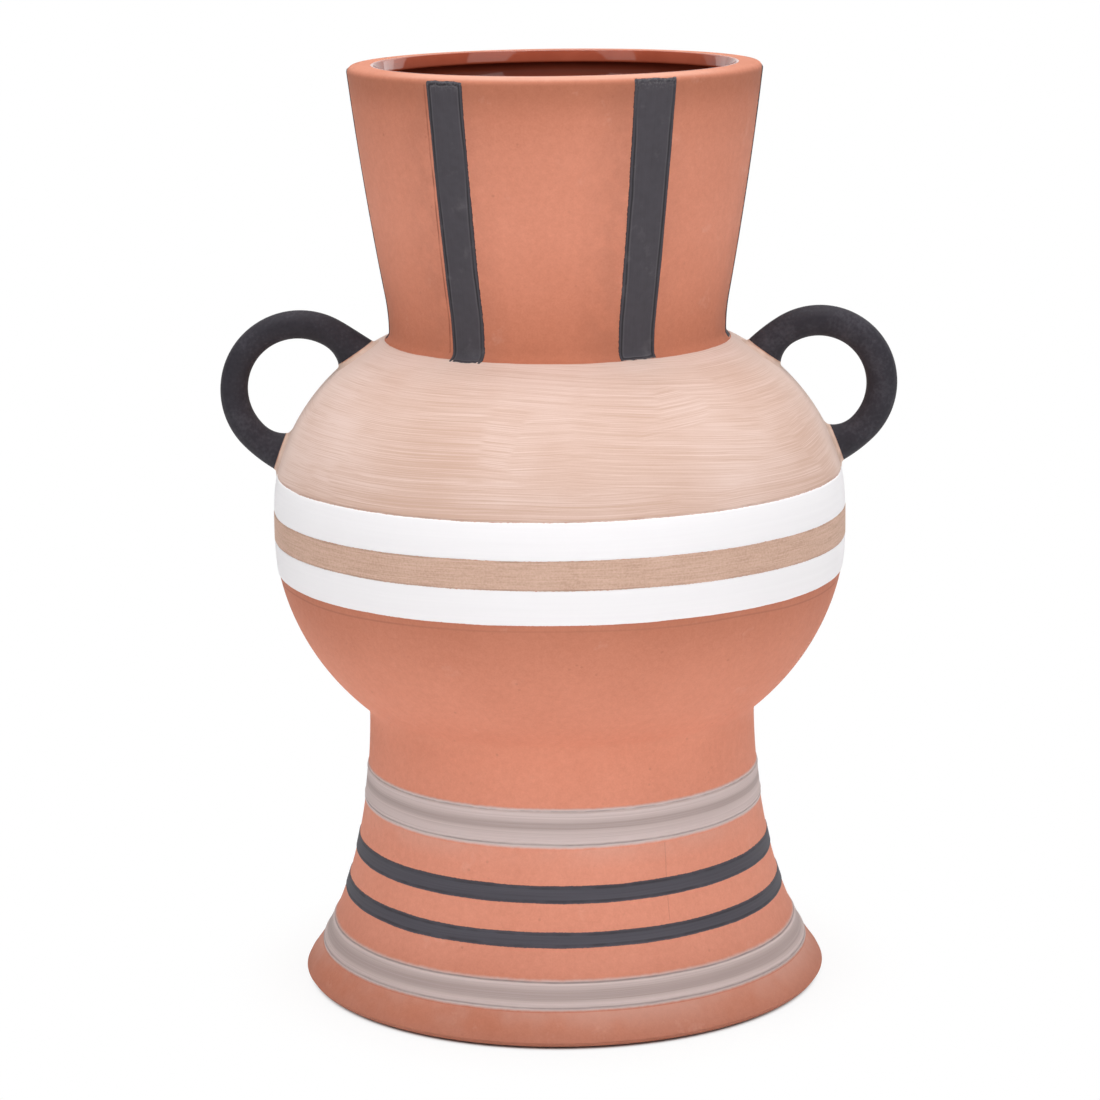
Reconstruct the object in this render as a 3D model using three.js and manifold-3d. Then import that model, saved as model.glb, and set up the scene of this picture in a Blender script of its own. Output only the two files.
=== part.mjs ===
// A two-handled earthenware vase: a cast shell with a glazed inside, two rod handles luted to its
// shoulder, and brushed coats, bands and stripes. Millimetres, +Z up, origin at the centre of the foot.
import * as THREE from 'three';
import { mergeVertices } from 'three/addons/utils/BufferGeometryUtils.js';
import Module from 'manifold-3d';

const wasm = await Module();
wasm.setup();

// Outside of the cast shell
const HEIGHT = 305; // table to the top of the lip
const RIM_RADIUS = 67; // outside of the neck at the lip
const NECK_RADIUS = 55; // outside of the neck at its foot
const NECK_UPRIGHT = 8; // height of the straight stretch at the foot of the neck
const NECK_SWELL = 0.65; // how far the leaning side of the neck bows out at mid-height
const NECK_FILLET = 3; // between the neck and the shoulder
const BELLY_RADIUS = 95; // the widest girth
const BELLY_HEIGHT = 155.6; // height of the widest girth
const SHOULDER_ARC = 66; // radius of the curve above the widest girth
const UNDERBELLY_ARC = 79.2; // radius of the curve below it
const WAIST_RADIUS = 64.3; // where the belly meets the foot
const WAIST_FILLET = 4; // between the belly and the foot
const FOOT_RADIUS = 87.6; // the widest reach of the flared foot
const FLARE_SINK = 9.6; // how far below the edge of the foot the curve of its flare would level out
const EDGE_ROUND = 2.5; // rounding of the edge that stands on the table
const EDGE_TURN = 43; // degrees that the rounding goes on above the widest reach

// Inside of the cast shell, its lip and its underside
const WALL = 7.5; // thickness of the clay
const FLOOR = 11; // height of the inside floor
const FLOOR_FILLET = 6; // between the inside wall and the floor
const LIP_WIDTH = 8; // the lip is a little thicker than the wall
const LIP_ROUND = 2.5; // outer edge of the lip
const LIP_INNER_ROUND = 1.8; // inner edge of the lip
const LIP_DEPTH = 3.6; // how far down the thicker lip goes
const LIP_EASE = 3; // height over which it thins to the wall
const RECESS = 2.5; // depth of the hollow under the foot
const FOOT_RING = 12; // width of the ring that stands on the table
const RECESS_DRAFT = 1.5; // how far the side of the hollow leans

// Glaze, coats and stripes
const SEAT = 0.05; // gap between the clay and what is brushed or poured on it
const GLAZE = 0.4; // thickness of the glaze inside
const GLAZE_DROP = 0.6; // the glaze stops this far below the top of the lip
const COAT = 0.3; // thickness of brushed slip
const COAT_GAP = 0.1; // gap between two coats
const BANDS_TOP = 15.6; // where the shoulder coat ends and the belly bands begin, above the widest girth
const UPPER_WHITE_WIDTH = 10.6;
const TAN_WIDTH = 9.4;
const LOWER_WHITE_WIDTH = 11.5;
const LOWER_TAUPE_RISE = 11.1; // bare clay under the lowest band of the foot
const LOWER_TAUPE_WIDTH = 9.9;
const LOWER_BLACK_RISE = 8.5; // bare clay between that band and the next, and so on upwards
const LOWER_BLACK_WIDTH = 5;
const UPPER_BLACK_RISE = 8.6;
const UPPER_BLACK_WIDTH = 5.8;
const UPPER_TAUPE_RISE = 11.3;
const UPPER_TAUPE_WIDTH = 13.5;
const STRIPE_TOP_WIDTH = 13.4;
const STRIPE_FOOT_WIDTH = 11.8;
const STRIPE_DROP = 3; // the stripes start this far below the top of the lip
const STRIPE_BEARINGS = [-30.8, 27.2, 88, 148, 208, 267.5]; // degrees from the front, laid by eye

// Handles, each pulled and set by hand, so each has its own sizes
const ROD_RADIUS = 4.9;
const ROOT_SPREAD = 1.5; // how much wider the rod is where it meets the shoulder
const ROOT_LENGTH = 10; // length over which it widens
const ROOT_SINK = 6; // how far the rod is drawn on into the shoulder before it is cut to fit
const LUTE = 1.4; // thickness of the collar of slip between a handle and the shoulder
const LUTE_BEAD = 0.4; // how far the collar stands out around the rod
const LUTE_GAP = 0.1; // gap between a collar and the handle that it holds
const COAT_REVEAL = 0.3; // gap between a collar and the shoulder coat
const LEFT_FOOTING = 0.4; // bare shoulder between the left handle's lower collar and the belly bands
const LEFT_HEADROOM = 6.3; // bare shoulder between its upper collar and the neck
const LEFT_STANDOFF = 4.5; // distance of the middle of its ring from the shoulder
const RIGHT_FOOTING = 1.3;
const RIGHT_HEADROOM = 7.5;
const RIGHT_STANDOFF = 5.5;

// Facets: turned pieces share the same flats, so that the coats lie on the clay
const SIDES = 40;
const OUTSIDE_DETAIL = 6; // steps in the longest curves of the outside
const INSIDE_DETAIL = 3;
const ROD_SIDES = 12;
const ROD_STEPS = 19;
const ROOT_SEARCH = 0.25; // degrees between the tries that find where a handle meets the shoulder

const FINISHES = {
  clay: { color: '#d98d70', roughness: 0.85 },
  glaze: { color: '#8a3d26', roughness: 0.15 },
  beige: { color: '#e3c0ae', roughness: 0.75 },
  white: { color: '#f7f6f4', roughness: 0.6 },
  tan: { color: '#c3a488', roughness: 0.7 },
  taupe: { color: '#b8a49f', roughness: 0.7 },
  black: { color: '#3c383b', roughness: 0.8 },
};

const degrees = THREE.MathUtils.degToRad;
const at = (radius, height) => new THREE.Vector2(radius, height);
const polar = (centre, radius, angle) =>
  at(centre.x + radius * Math.cos(angle), centre.y + radius * Math.sin(angle));

function arc(centre, radius, from, to, steps) {
  const clockwise = to < from;
  const curve = new THREE.EllipseCurve(centre.x, centre.y, radius, radius, from, to, clockwise);
  return curve.getPoints(steps);
}

// The outline with one corner rounded, where the two chords beside it leave room for the rounding
function rounded(outline, corner, radius, steps) {
  const [before, tip, after] = outline.slice(corner - 1, corner + 2);
  const back = before.clone().sub(tip);
  const on = after.clone().sub(tip);
  const half = Math.acos(back.dot(on) / (back.length() * on.length())) / 2;
  const reach = Math.min(radius / Math.tan(half), 0.9 * back.length(), 0.9 * on.length());
  const start = tip.clone().addScaledVector(back.normalize(), reach);
  const end = tip.clone().addScaledVector(on.normalize(), reach);
  const curve = new THREE.QuadraticBezierCurve(start, tip, end);
  return [...outline.slice(0, corner), ...curve.getPoints(steps), ...outline.slice(corner + 1)];
}

// Where the curves of the belly run into the neck and into the foot
const shoulderCentre = at(BELLY_RADIUS - SHOULDER_ARC, BELLY_HEIGHT);
const underbellyCentre = at(BELLY_RADIUS - UNDERBELLY_ARC, BELLY_HEIGHT);
const shoulderEnd = Math.acos((NECK_RADIUS - shoulderCentre.x) / SHOULDER_ARC);
const waistStart = -Math.acos((WAIST_RADIUS - underbellyCentre.x) / UNDERBELLY_ARC);
const neckFoot = BELLY_HEIGHT + SHOULDER_ARC * Math.sin(shoulderEnd);
const waist = BELLY_HEIGHT + UNDERBELLY_ARC * Math.sin(waistStart);

// The flare of the foot is a stretch of an ellipse, upright at the waist
function flare(from, steps) {
  const drop = waist - from.y;
  const tall = drop + FLARE_SINK;
  const turn = Math.asin(drop / tall);
  const wide = (from.x - WAIST_RADIUS) / (1 - Math.cos(turn));
  const curve = new THREE.EllipseCurve(
    WAIST_RADIUS + wide, waist, wide, tall, Math.PI + turn, Math.PI, true);
  return curve.getPoints(steps);
}

function leaningNeck(steps) {
  const low = at(NECK_RADIUS, neckFoot + NECK_UPRIGHT);
  const high = at(RIM_RADIUS, HEIGHT - LIP_ROUND);
  const bow = low.clone().lerp(high, 0.5).add(at(2 * NECK_SWELL, 0));
  return new THREE.QuadraticBezierCurve(low, bow, high).getPoints(steps);
}

// The outside from the table to the lip
function outside(detail) {
  const few = Math.round(detail / 3);
  const edgeCentre = at(FOOT_RADIUS - EDGE_ROUND, EDGE_ROUND);
  const edge = arc(edgeCentre, EDGE_ROUND, -Math.PI / 2, degrees(EDGE_TURN), few + 1);
  const foot = flare(edge.at(-1), detail);
  const underbelly = arc(underbellyCentre, UNDERBELLY_ARC, waistStart, 0, detail);
  const shoulder = arc(shoulderCentre, SHOULDER_ARC, 0, shoulderEnd, detail);
  const neck = leaningNeck(few + 1);
  const lower = [...edge, ...foot.slice(1), ...underbelly.slice(1)];
  const waistCorner = edge.length + foot.length - 2;
  const softWaist = rounded(lower, waistCorner, WAIST_FILLET, few);
  const upper = [...shoulder, ...neck];
  const softNeck = rounded(upper, shoulder.length - 1, NECK_FILLET, few);
  return [...softWaist, ...softNeck.slice(1)];
}

// The outline moved sideways by a distance, to the right of its direction of travel
function shifted(outline, distance) {
  const across = outline.slice(1).map((point, i) => {
    const along = point.clone().sub(outline[i]).normalize();
    return at(along.y, -along.x);
  });
  return outline.map((point, i) => {
    const before = across[Math.max(i - 1, 0)];
    const after = across[Math.min(i, across.length - 1)];
    const mitre = before.clone().add(after).divideScalar(1 + before.dot(after));
    return point.clone().addScaledVector(mitre, distance);
  });
}

// The stretch of an outline between two heights, cut on its own chords
function between(outline, low, high) {
  const stretch = [];
  outline.slice(1).forEach((end, i) => {
    const start = outline[i];
    const cuts = [0, 1];
    for (const height of [low, high]) {
      const share = (height - start.y) / (end.y - start.y);
      if (share > 0 && share < 1) cuts.push(share);
    }
    for (const share of cuts.sort((a, b) => a - b)) {
      const point = start.clone().lerp(end, share);
      const kept = point.y > low - 1e-6 && point.y < high + 1e-6;
      if (kept && !(stretch.length && stretch.at(-1).distanceTo(point) < 1e-6)) stretch.push(point);
    }
  });
  return stretch;
}

const OUTSIDE = outside(OUTSIDE_DETAIL);

// The inside from the crown of the lip down to the middle of the floor
function inside() {
  const lipRadius = RIM_RADIUS - LIP_WIDTH;
  const lipCentre = at(lipRadius + LIP_INNER_ROUND, HEIGHT - LIP_INNER_ROUND);
  const lip = arc(lipCentre, LIP_INNER_ROUND, Math.PI / 2, Math.PI, 2);
  const lipFoot = at(lipRadius, HEIGHT - LIP_DEPTH);
  const offset = shifted(outside(INSIDE_DETAIL), -WALL);
  const wall = between(offset, FLOOR, HEIGHT - LIP_DEPTH - LIP_EASE).reverse();
  const floor = at(0, FLOOR);
  const line = [...lip, lipFoot, ...wall, floor];
  return rounded(line, line.length - 2, FLOOR_FILLET, 2);
}

const INSIDE = inside();

function turned(profile) {
  return new THREE.LatheGeometry(profile, SIDES).rotateX(Math.PI / 2);
}

function solidOf(geometry) {
  const bare = geometry.clone();
  for (const name of Object.keys(bare.attributes)) {
    if (name !== 'position') bare.deleteAttribute(name);
  }
  const merged = mergeVertices(bare, 1e-4);
  const corners = merged.index.array;
  const kept = [];
  for (let i = 0; i < corners.length; i += 3) {
    const [a, b, c] = corners.slice(i, i + 3);
    if (a !== b && b !== c && c !== a) kept.push(a, b, c);
  }
  const vertProperties = new Float32Array(merged.attributes.position.array);
  const triVerts = new Uint32Array(kept);
  return new wasm.Manifold(new wasm.Mesh({ numProp: 3, vertProperties, triVerts }));
}

function geometryOf(solid) {
  const { vertProperties, triVerts } = solid.getMesh();
  const geometry = new THREE.BufferGeometry();
  geometry.setAttribute('position', new THREE.Float32BufferAttribute(vertProperties, 3));
  geometry.setIndex(Array.from(triVerts));
  return geometry;
}

const vase = new THREE.Group();

function place(name, solid, finish) {
  const geometry = geometryOf(solid).toNonIndexed();
  geometry.computeVertexNormals();
  const material = new THREE.MeshStandardMaterial({ metalness: 0, ...FINISHES[finish] });
  const mesh = new THREE.Mesh(geometry, material);
  mesh.name = name;
  vase.add(mesh);
}

function castShell() {
  const ringRadius = FOOT_RADIUS - EDGE_ROUND - FOOT_RING;
  const underside = [at(0, RECESS), at(ringRadius - RECESS_DRAFT, RECESS), at(ringRadius, 0)];
  const lipCentre = at(RIM_RADIUS - LIP_ROUND, HEIGHT - LIP_ROUND);
  const lip = arc(lipCentre, LIP_ROUND, 0, Math.PI / 2, 2);
  return solidOf(turned([...underside, ...OUTSIDE, ...lip.slice(1), ...INSIDE]));
}

function glazeLining() {
  const line = between(INSIDE, FLOOR, HEIGHT - GLAZE_DROP);
  const onClay = shifted(line, SEAT);
  const face = shifted(line, SEAT + GLAZE);
  return solidOf(turned([...onClay.reverse(), ...face]));
}

// A brushed ring of slip on the outside between two heights
function coatRing(low, high) {
  const stretch = between(OUTSIDE, low + COAT_GAP / 2, high - COAT_GAP / 2);
  const face = shifted(stretch, SEAT + COAT);
  const onClay = shifted(stretch, SEAT).reverse();
  return solidOf(turned([...face, ...onClay, face[0]]));
}

// The whole outside as one block, grown by a distance, to cut what sits on it
function outsideBlock(grown) {
  const face = shifted(OUTSIDE, grown);
  return solidOf(turned([at(0, face[0].y), ...face, at(0, face.at(-1).y)]));
}

// One upright stripe on the neck: a blade with the outline of the stripe cuts it from a coat ring
function neckStripe(bearing) {
  const low = neckFoot;
  const high = HEIGHT - STRIPE_DROP;
  const outline = new THREE.Shape([
    at(-STRIPE_FOOT_WIDTH / 2, low),
    at(STRIPE_FOOT_WIDTH / 2, low),
    at(STRIPE_TOP_WIDTH / 2, high),
    at(-STRIPE_TOP_WIDTH / 2, high),
  ]);
  const depth = 2 * RIM_RADIUS;
  const blade = new THREE.ExtrudeGeometry(outline, { depth, bevelEnabled: false });
  blade.rotateX(Math.PI / 2).rotateZ(degrees(bearing));
  return coatRing(low, high).intersect(solidOf(blade));
}

function shoulderRadius(height) {
  const [point] = between(OUTSIDE, height, HEIGHT);
  return point.x;
}

// A handle's centre line is a ring in the XZ plane through its two roots, which are set out along the
// shoulder; angles on the ring run from its outermost point up and round
function ringOf(handle) {
  const rootReach = ROD_RADIUS + ROOT_SPREAD + LUTE_BEAD;
  const low = Math.asin(BANDS_TOP / SHOULDER_ARC) + (rootReach + handle.footing) / SHOULDER_ARC;
  const high = shoulderEnd - (rootReach + handle.headroom) / SHOULDER_ARC;
  const overShoulder = (angle, clear) => polar(shoulderCentre, SHOULDER_ARC + clear, angle);
  const centre = overShoulder((low + high) / 2, handle.standoff);
  const radius = centre.distanceTo(overShoulder(high, 0));
  const pointAt = (angle) => polar(centre, radius, angle);
  const root = (turn) => {
    let angle = 0;
    while (shoulderRadius(pointAt(angle).y) < pointAt(angle).x) angle += turn * degrees(ROOT_SEARCH);
    return angle;
  };
  return { pointAt, radius, upper: root(1), lower: root(-1) };
}

// The rod of a handle, widening towards its two roots and running on into the shoulder
function handleRod(handle, grown) {
  const { pointAt, radius: ring, upper, lower } = ringOf(handle);
  const sink = ROOT_SINK / ring;
  const positions = [];
  for (let step = 0; step <= ROD_STEPS; step += 1) {
    const angle = THREE.MathUtils.lerp(lower - sink, upper + sink, step / ROD_STEPS);
    const clear = ring * Math.min(upper - angle, angle - lower);
    const near = THREE.MathUtils.clamp(1 - clear / ROOT_LENGTH, 0, 1);
    const radius = ROD_RADIUS + ROOT_SPREAD * near * near + grown;
    const centre = pointAt(angle);
    for (let side = 0; side < ROD_SIDES; side += 1) {
      const around = (2 * Math.PI * side) / ROD_SIDES;
      const out = radius * Math.cos(around);
      const x = centre.x + out * Math.cos(angle);
      const z = centre.y + out * Math.sin(angle);
      positions.push(handle.side * x, handle.side * radius * Math.sin(around), z);
    }
  }
  return loft(positions, ROD_SIDES, ROD_STEPS);
}

// A closed skin over rings of points, with a fan at each end
function loft(positions, sides, steps) {
  const faces = [];
  for (let side = 0; side < sides; side += 1) {
    const next = (side + 1) % sides;
    for (let step = 0; step < steps; step += 1) {
      const ring = step * sides;
      faces.push(ring + side, ring + next, ring + sides + side);
      faces.push(ring + next, ring + sides + next, ring + sides + side);
    }
  }
  const last = steps * sides;
  for (let side = 1; side < sides - 1; side += 1) {
    faces.push(0, side + 1, side);
    faces.push(last, last + side, last + side + 1);
  }
  const geometry = new THREE.BufferGeometry();
  geometry.setAttribute('position', new THREE.Float32BufferAttribute(positions, 3));
  geometry.setIndex(faces);
  return solidOf(geometry);
}

// The collars of slip that join a handle to the clay, one at each root, the upper one first
function luteCollars(handle) {
  const film = outsideBlock(LUTE).subtract(outsideBlock(SEAT));
  const collars = film.intersect(handleRod(handle, LUTE_BEAD)).decompose();
  return collars.sort((a, b) => b.boundingBox().max[2] - a.boundingBox().max[2]);
}

place('vase_body', castShell(), 'clay');
place('glaze_lining', glazeLining(), 'glaze');

const bandsTop = BELLY_HEIGHT + BANDS_TOP;
let shoulderCoat = coatRing(bandsTop, neckFoot);
const handles = [
  { name: 'left', side: -1, footing: LEFT_FOOTING, headroom: LEFT_HEADROOM, standoff: LEFT_STANDOFF },
  { name: 'right', side: 1, footing: RIGHT_FOOTING, headroom: RIGHT_HEADROOM, standoff: RIGHT_STANDOFF },
];
for (const handle of handles) {
  const rod = handleRod(handle, 0).subtract(outsideBlock(LUTE + LUTE_GAP));
  const [upper, lower] = luteCollars(handle);
  place(`handle_${handle.name}`, rod, 'black');
  place(`lute_${handle.name}_upper`, upper, 'beige');
  place(`lute_${handle.name}_lower`, lower, 'beige');
  shoulderCoat = shoulderCoat.subtract(handleRod(handle, LUTE_BEAD + COAT_REVEAL));
}
place('shoulder_coat', shoulderCoat, 'beige');

// The belly bands follow one under another
let bandTop = bandsTop;
for (const [name, finish, width] of [
  ['white_band_upper', 'white', UPPER_WHITE_WIDTH],
  ['tan_band', 'tan', TAN_WIDTH],
  ['white_band_lower', 'white', LOWER_WHITE_WIDTH],
]) {
  place(name, coatRing(bandTop - width, bandTop), finish);
  bandTop -= width;
}

// The foot bands follow one above another, each over a strip of bare clay
let bareFrom = 0;
for (const [name, finish, rise, width] of [
  ['taupe_band_lower', 'taupe', LOWER_TAUPE_RISE, LOWER_TAUPE_WIDTH],
  ['black_band_lower', 'black', LOWER_BLACK_RISE, LOWER_BLACK_WIDTH],
  ['black_band_upper', 'black', UPPER_BLACK_RISE, UPPER_BLACK_WIDTH],
  ['taupe_band_upper', 'taupe', UPPER_TAUPE_RISE, UPPER_TAUPE_WIDTH],
]) {
  place(name, coatRing(bareFrom + rise, bareFrom + rise + width), finish);
  bareFrom += rise + width;
}

STRIPE_BEARINGS.forEach((bearing, i) => place(`neck_stripe_${i + 1}`, neckStripe(bearing), 'black'));

export default vase;
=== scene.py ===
import contextlib
import math
import random
from functools import partialmethod

import bpy
import numpy as np
from mathutils import Matrix, Vector


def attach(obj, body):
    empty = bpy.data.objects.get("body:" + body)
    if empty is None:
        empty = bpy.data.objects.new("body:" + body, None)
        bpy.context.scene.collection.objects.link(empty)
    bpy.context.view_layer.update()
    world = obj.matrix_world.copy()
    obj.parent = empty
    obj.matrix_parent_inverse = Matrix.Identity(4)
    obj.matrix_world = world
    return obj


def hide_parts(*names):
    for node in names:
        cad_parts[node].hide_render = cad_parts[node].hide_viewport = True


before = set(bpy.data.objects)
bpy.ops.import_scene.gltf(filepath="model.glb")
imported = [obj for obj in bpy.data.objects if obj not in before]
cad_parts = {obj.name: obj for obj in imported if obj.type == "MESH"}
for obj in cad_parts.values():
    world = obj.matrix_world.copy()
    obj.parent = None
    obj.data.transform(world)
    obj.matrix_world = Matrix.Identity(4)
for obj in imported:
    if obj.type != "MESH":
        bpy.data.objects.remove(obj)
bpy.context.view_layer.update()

MM = 0.001
TURN = 2 * math.pi

# Sizes of the vase, in millimetres
HEIGHT = 305.0
RIM = 67.0
NECK = 55.0
NECK_UPRIGHT = 8.0
NECK_SWELL = 0.65
BELLY = 95.0
BELLY_HEIGHT = 155.6
GIRTH_FLAT = 0.84
GIRTH_REACH = 11.5
SHOULDER_ARC = 66.0
UNDERBELLY_ARC = 79.2
WAIST = 64.3
FOOT = 87.6
FLARE_SINK = 9.6
EDGE_ROUND = 2.5
EDGE_TURN = 43.0
EDGE_UNDERCUT = 9.0
FOOT_RING = 6.0
RECESS = 2.5
WALL = 7.5
WALL_TOP, WALL_LOW, WALL_STEPS = HEIGHT - 16, 19.0, 110
FLOOR = 11.0
LIP_ROUND = 2.0
LIP_INNER = 58.1
BEAD = 1.4
GLAZE = 0.4
GLAZE_BACK = 0.1

# Handles and the collars at their roots, in millimetres
ROD = 4.9
ROD_SIDES = 40
ROD_STEPS = 110
ROOT_SPREAD = 1.7
ROOT_LENGTH = 11.0
ROOT_MARGIN = 0.4
BANDS_TOP = 15.6
COLLAR = 1.5
COLLAR_SPREAD = 2.1
COLLAR_DROPS = (0.12, 0.25, 0.4, 0.6, 0.8, 0.95, 1.08, 1.18, 1.26)
COLLAR_SKIRT = 0.8
COLLAR_SINK = 0.3
COLLAR_HOLLOW = 3.2

# Coats, in millimetres: heights of their edges, how thick they are, how far they reach into the clay and over one
# another, and how far the shoulder's ends below the neck
GIRTH_EDGES = (172.2, 160.35, 150.9, 139.7)
BLACK_LOW, BLACK_HIGH = (29.5, 34.55), (43.1, 48.95)
TAUPE_LOW, TAUPE_HIGH = (11.0, 21.0), (60.0, 73.75)
BEIGE_FILM, WHITE_FILM, TAN_FILM, TAUPE_FILM, BLACK_FILM, STRIPE_FILM = 0.22, 0.30, 0.36, 0.25, 0.28, 0.26
COAT_BACK = 0.25
COAT_LAP = 0.2
COAT_TOP_GAP = 0.9
STRIPE_BACK = 0.35
# Lines scribed in the taupe bands, as shares of their width
SCRIBES_LOW, SCRIBES_HIGH = (0.124, 0.854), (0.127, 0.905)
# Steps around the vase
BODY_STEPS, LINING_STEPS, GIRTH_STEPS, FOOT_STEPS = 240, 200, 480, 360

# Stripes on the neck: bearings at their top and foot in degrees from the front, widths at their top and foot,
# how far their foot lies below the neck's and their top below the lip's
STRIPES = ((-30.8, -30.8, 13.1, 12.1, 1.6, 1.1), (27.7, 26.8, 15.0, 12.9, 0.9, 0.8),
           (88.0, 88.4, 13.6, 12.0, 0.7, 1.2), (148.2, 147.6, 13.0, 11.6, 1.4, 1.0),
           (207.6, 208.2, 13.8, 12.0, 1.0, 1.3), (267.8, 267.2, 13.2, 11.7, 0.7, 0.9))
# The side of each stripe that has a line scored beside it
SCORED_SIDES = (-1, 0, -1, 1, -1, 1)

# The bare clay at heights in millimetres, partly its own tone and partly painted shade and highlight: how light it is,
# against its palest, and how much redder
# Painted shade under the lip, at the neck's foot, under the belly and along the bottom edge; painted highlight on the
# lip's crest and the foot's flare
CLAY_PAINTED_SHADE = (
    (0, 0.62, 0.10), (3, 0.645, 0.03), (6, 0.675, 0.145), (9, 0.715, 0.12), (25, 0.925, -0.045), (38, 1.02, -0.03),
    (58, 1.04, -0.05), (74, 0.99, 0.01), (86, 0.997, 0.035), (95, 1.015, 0.045), (105, 0.98, 0.025),
    (118, 0.90, 0.055), (140, 0.728, 0.145), (216, 0.76, 0.22), (226, 0.82, 0.18), (238, 0.905, 0.11),
    (256, 0.97, 0.035), (280, 0.92, 0.05), (292, 0.825, 0.115), (299.5, 0.66, 0.20), (303.0, 0.655, 0.195),
    (304.4, 0.86, 0.073), (305, 0.70, 0.163))

# Colours that lie over others
SPECK = (0.30, 0.10, 0.06)
SCORE = (0.26, 0.075, 0.045)
HAIRLINE = (0.36, 0.12, 0.08)
BLACK_HAZE = (0.30, 0.115, 0.075)
TAUPE_HAZE = (0.640, 0.430, 0.370)
PALE_SCUFF = (0.86, 0.56, 0.47)
PAINTED_LIP_HIGHLIGHT = (0.95, 0.66, 0.54)
GLAZE_PAINTED_SHADE = (0.060, 0.012, 0.009)
ROOT_SMEAR = (0.775, 0.605, 0.535)
TAUPE_SCRATCH = (0.185, 0.145, 0.138)
COLLAR_EARTH = (0.42, 0.24, 0.15)
STRIPE_EDGING = (0.72, 0.55, 0.47)

SHOULDER_MID = BELLY - SHOULDER_ARC
UNDERBELLY_MID = BELLY - UNDERBELLY_ARC
SHOULDER_END = math.acos((NECK - SHOULDER_MID) / SHOULDER_ARC)
WAIST_TURN = -math.acos((WAIST - UNDERBELLY_MID) / UNDERBELLY_ARC)
NECK_FOOT = BELLY_HEIGHT + SHOULDER_ARC * math.sin(SHOULDER_END)
WAIST_HEIGHT = BELLY_HEIGHT + UNDERBELLY_ARC * math.sin(WAIST_TURN)


# Outlines, as lists of (radius, height)

def arc(middle, radius, start, end, steps, tall=None):
    tall = radius if tall is None else tall
    turns = [start + (end - start) * i / steps for i in range(steps + 1)]
    return [(middle[0] + radius * math.cos(t), middle[1] + tall * math.sin(t)) for t in turns]


def bow(a, b, c, steps):
    points = []
    for i in range(steps + 1):
        t = i / steps
        weights = ((1 - t) ** 2, 2 * t * (1 - t), t * t)
        points.append(tuple(sum(w * p[k] for w, p in zip(weights, (a, b, c))) for k in (0, 1)))
    return points


def shortened(line, length):
    """The line without its last stretch of that length."""
    line = list(line)
    while len(line) > 1:
        a, b = line[-2], line[-1]
        piece = math.dist(a, b)
        if piece > length:
            share = 1 - length / piece
            return line[:-1] + [tuple(p + (q - p) * share for p, q in zip(a, b))]
        length -= piece
        line.pop()
    return line


def eased(first, second, reach, steps=10):
    """Two lines that meet in a corner, with the corner rounded."""
    before = shortened(first, reach)
    after = shortened(second[::-1], reach)[::-1]
    return before + bow(before[-1], first[-1], after[0], steps)[1:-1] + after


def run_along(line):
    """The distance of each point from the start of a line."""
    return np.r_[0, np.cumsum(np.linalg.norm(np.diff(line, axis=0), axis=1))]


def evened(line, gap):
    """Points about a gap apart along a line."""
    line = np.array(line)
    run = run_along(line)
    places = np.linspace(0, run[-1], max(2, round(run[-1] / gap) + 1))
    return [(float(r), float(z)) for r, z in zip(*(np.interp(places, run, line[:, k]) for k in (0, 1)))]


def outside_line():
    edge = arc((FOOT - EDGE_UNDERCUT, EDGE_ROUND), EDGE_UNDERCUT, -math.pi / 2, 0, 20, EDGE_ROUND)
    edge += arc((FOOT - EDGE_ROUND, EDGE_ROUND), EDGE_ROUND, 0, math.radians(EDGE_TURN), 10)[1:]
    reach, low = edge[-1]
    drop = WAIST_HEIGHT - low
    tall = drop + FLARE_SINK
    turn = math.asin(drop / tall)
    wide = (reach - WAIST) / (1 - math.cos(turn))
    flare = arc((WAIST + wide, WAIST_HEIGHT), wide, math.pi + turn, math.pi, 120, tall)
    underbelly = arc((UNDERBELLY_MID, BELLY_HEIGHT), UNDERBELLY_ARC, WAIST_TURN, 0, 120)
    shoulder = arc((SHOULDER_MID, BELLY_HEIGHT), SHOULDER_ARC, 0, SHOULDER_END, 120)
    low_neck = (NECK, NECK_FOOT + NECK_UPRIGHT)
    high_neck = (RIM, HEIGHT - LIP_ROUND)
    side = ((low_neck[0] + high_neck[0]) / 2 + 2 * NECK_SWELL, (low_neck[1] + high_neck[1]) / 2)
    neck = eased([(NECK, NECK_FOOT), low_neck], bow(low_neck, side, high_neck, 120), 6.0)
    foot = eased(edge, flare, 2.0)
    lower = eased(foot, underbelly, 3.2)
    lip = arc((RIM - LIP_ROUND, HEIGHT - LIP_ROUND), LIP_ROUND, 0, math.radians(75), 12)
    line = eased(lower + shoulder[1:], neck, 2.2) + lip[1:]
    return [(r - GIRTH_FLAT * math.exp(-((z - BELLY_HEIGHT) / GIRTH_REACH) ** 2), z) for r, z in line]


OUTSIDE = np.array(outside_line())
OUTSIDE_RUN = run_along(OUTSIDE)


def run_at(height):
    return float(np.interp(height, OUTSIDE[:, 1], OUTSIDE_RUN))


def outside_at(run):
    return np.interp(run, OUTSIDE_RUN, OUTSIDE[:, 0]), np.interp(run, OUTSIDE_RUN, OUTSIDE[:, 1])


def wall_at(run, step=0.3):
    """Point and outward direction on the outside, at a distance along its outline."""
    (far_r, far_z), (near_r, near_z) = outside_at(run + step), outside_at(run - step)
    dr, dz = far_r - near_r, far_z - near_z
    size = np.hypot(dr, dz)
    return *outside_at(run), dz / size, -dr / size


# Handles

def on_shoulder(turn, standoff=0.0):
    """Radius and height at an angle on the shoulder's arc."""
    reach = SHOULDER_ARC + standoff
    return np.array([SHOULDER_MID + reach * math.cos(turn), BELLY_HEIGHT + reach * math.sin(turn)])


def shoulder_gap(places):
    """Distance of points from the shoulder, in millimetres."""
    reach = np.hypot(places[:, 0], places[:, 1])
    return np.hypot(reach - SHOULDER_MID, places[:, 2] - BELLY_HEIGHT) - SHOULDER_ARC


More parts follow.
